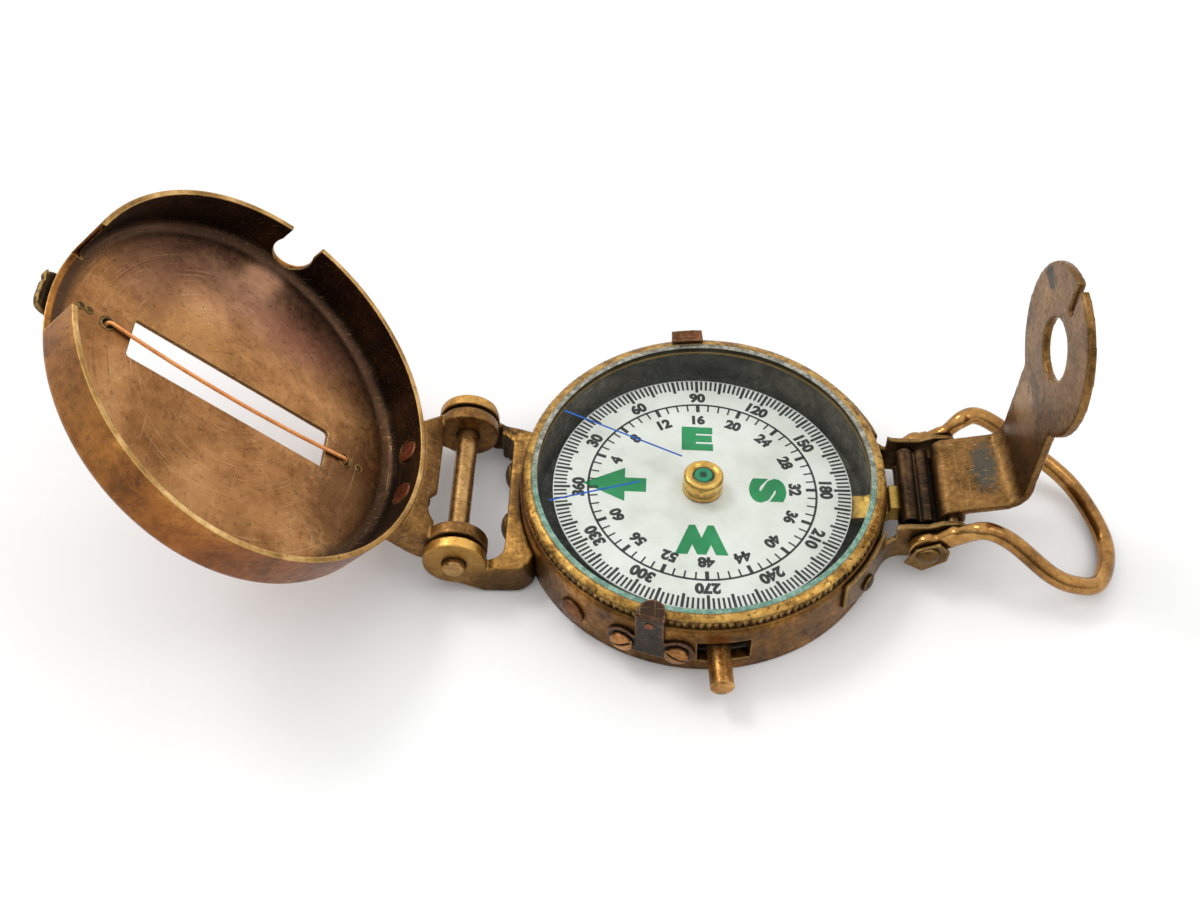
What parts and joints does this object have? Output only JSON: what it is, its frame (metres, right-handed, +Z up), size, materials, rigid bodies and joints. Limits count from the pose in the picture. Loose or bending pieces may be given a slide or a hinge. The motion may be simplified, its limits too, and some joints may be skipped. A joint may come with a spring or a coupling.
{
  "type": "folding sighting compass",
  "caption": "Pocket compass with a round brass case, turning bezel, slotted lid with sighting wire, folding lens arm and thumb loop.",
  "frame": {"origin": "centre of the case's flat underside, on the table", "axes": "+Z up along the card's pivot, +X from the lid hinge towards the lens arm, +Y away from the viewer of the picture"},
  "size_m": [0.1567, 0.0649, 0.0545],
  "materials": {
    "aged_brass": "aged, brown film, worn edges",
    "patina_brass": "orange and brown patina, near black inside the rim",
    "cast_brass": "cast, dull, polished corners",
    "dark_brass": "dark brown film",
    "bright_brass": "satin, handled",
    "pale_brass": "satin",
    "copper": "dull copper",
    "dark_steel": "browned",
    "magnet_steel": "satin",
    "dark_paint": "matt",
    "dial_white": "matt print",
    "green_jewel": "gloss",
    "clear_glass": "gloss, green edge"
  },
  "bodies": {
    "case": {"case_cup": "aged_brass", "chamber_liner": "dark_paint", "chamber_floor": "dark_paint", "pivot_post": "bright_brass", "case_hinge_bracket": "cast_brass", "case_bracket_rivets": "dark_brass", "hinge_pin": "bright_brass", "lens_bracket": "dark_brass", "lens_bracket_rivets": "dark_brass", "lens_spring": "dark_steel", "spring_rivet": "dark_brass", "lens_pin": "bright_brass", "loop_washers": "aged_brass", "loop_screws": "bright_brass", "front_clip": "dark_steel", "clip_screws": "bright_brass", "clip_rivet": "copper", "back_clip": "copper", "back_clip_rivet": "copper", "case_rivet": "dark_brass", "lifter_pivot": "bright_brass"},
    "bezel": {"bezel_ring": "aged_brass", "glass": "clear_glass", "glass_ring": "pale_brass"},
    "card": {"compass_card": "dial_white", "card_magnets": "magnet_steel", "pivot_cap": "bright_brass", "cap_jewel": "green_jewel"},
    "lid": {"lid_shell": "patina_brass", "lid_hinge_bracket": "cast_brass", "lid_bracket_rivets": "copper", "lid_catch": "dark_brass", "catch_rivets": "dark_brass", "sighting_wire": "copper", "wire_eyelets": "pale_brass", "lid_plug": "dark_brass"},
    "lens_arm": {"lens_arm": "aged_brass"},
    "loop": {"thumb_loop": "bright_brass"},
    "lock": {"lock_pin": "bright_brass", "lock_shoe": "aged_brass"},
    "lifter": {"card_lifter": "pale_brass"}
  },
  "joints": [
    {"name": "lid_hinge", "type": "hinge", "parent": "case", "child": "lid", "pos_m": [-0.0376, 0, 0.0071], "axis": [0, -1, 0], "range_deg": [-134.4, 20]},
    {"name": "lens_arm_hinge", "type": "hinge", "parent": "case", "child": "lens_arm", "pos_m": [0.0376, 0, 0.0097], "axis": [0, -1, 0], "range_deg": [0, 90]},
    {"name": "loop_swing", "type": "hinge", "parent": "case", "child": "loop", "pos_m": [0.0341, 0, 0.0063], "axis": [0, -1, 0], "range_deg": [-65, 44]},
    {"name": "bezel_turn", "type": "hinge", "parent": "case", "child": "bezel", "pos_m": [0, 0, 0.0108], "axis": [0, 0, 1], "continuous": true},
    {"name": "card_turn", "type": "hinge", "parent": "case", "child": "card", "pos_m": [0, 0, 0.0087], "axis": [0, 0, 1], "continuous": true},
    {"name": "lock_slide", "type": "hinge", "parent": "case", "child": "lock", "pos_m": [0, 0, 0.0049], "axis": [0, 0, 1], "range_deg": [-2.4, 5.7]},
    {"name": "card_lift", "type": "hinge", "parent": "case", "child": "lifter", "pos_m": [0.0275, 0, 0.0052], "axis": [0, 1, 0], "range_deg": [0, 2.5]}
  ],
  "couplings": [
    {"joint": "card_lift", "follows": "lens_arm_hinge", "ratio": 0.027778}
  ]
}
